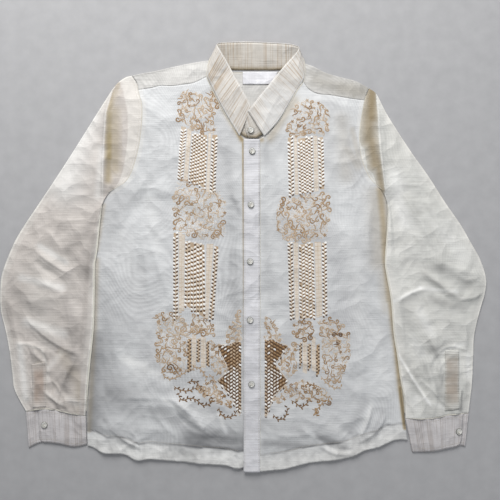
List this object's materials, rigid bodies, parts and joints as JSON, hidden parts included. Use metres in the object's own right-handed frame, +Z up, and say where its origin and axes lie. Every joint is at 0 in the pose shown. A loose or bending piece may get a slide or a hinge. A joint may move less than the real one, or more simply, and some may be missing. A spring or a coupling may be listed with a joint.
{
  "type": "long-sleeved barong tagalog shirt, laid flat",
  "caption": "Sheer cream long-sleeved barong shirt laid flat, with pointed collar, buttoned front placket, curved hem and brown-tan embroidery on both fronts.",
  "frame": {"origin": "middle of the footprint's box, on the surface that the shirt lies on", "axes": "+X across the shirt towards the wearer's left sleeve, +Y from the hem to the collar, +Z up from the surface"},
  "size_m": [0.9096, 0.8032, 0.0132],
  "materials": {
    "body_cloth": "satin",
    "placket_cloth": "satin",
    "yoke_cloth": "satin",
    "collar_cloth": "satin",
    "sleeve_cloth": "satin",
    "cuff_cloth": "satin",
    "label_cloth": "matte",
    "button_pearl": "gloss"
  },
  "bodies": {
    "root": {"back": "body_cloth", "front_left": "body_cloth", "front_right": "body_cloth", "front_placket": "placket_cloth", "yoke": "yoke_cloth", "collar_stand": "collar_cloth", "collar_fall": "collar_cloth", "sleeve_left": "sleeve_cloth", "sleeve_right": "sleeve_cloth", "sleeve_placket_left": "sleeve_cloth", "sleeve_placket_right": "sleeve_cloth", "cuff_left": "cuff_cloth", "cuff_right": "cuff_cloth", "label": "label_cloth", "button_collar": "button_pearl", "button_1": "button_pearl", "button_2": "button_pearl", "button_3": "button_pearl", "button_4": "button_pearl", "button_5": "button_pearl", "button_cuff_right": "button_pearl", "button_cuff_left": "button_pearl"}
  },
  "joints": []
}
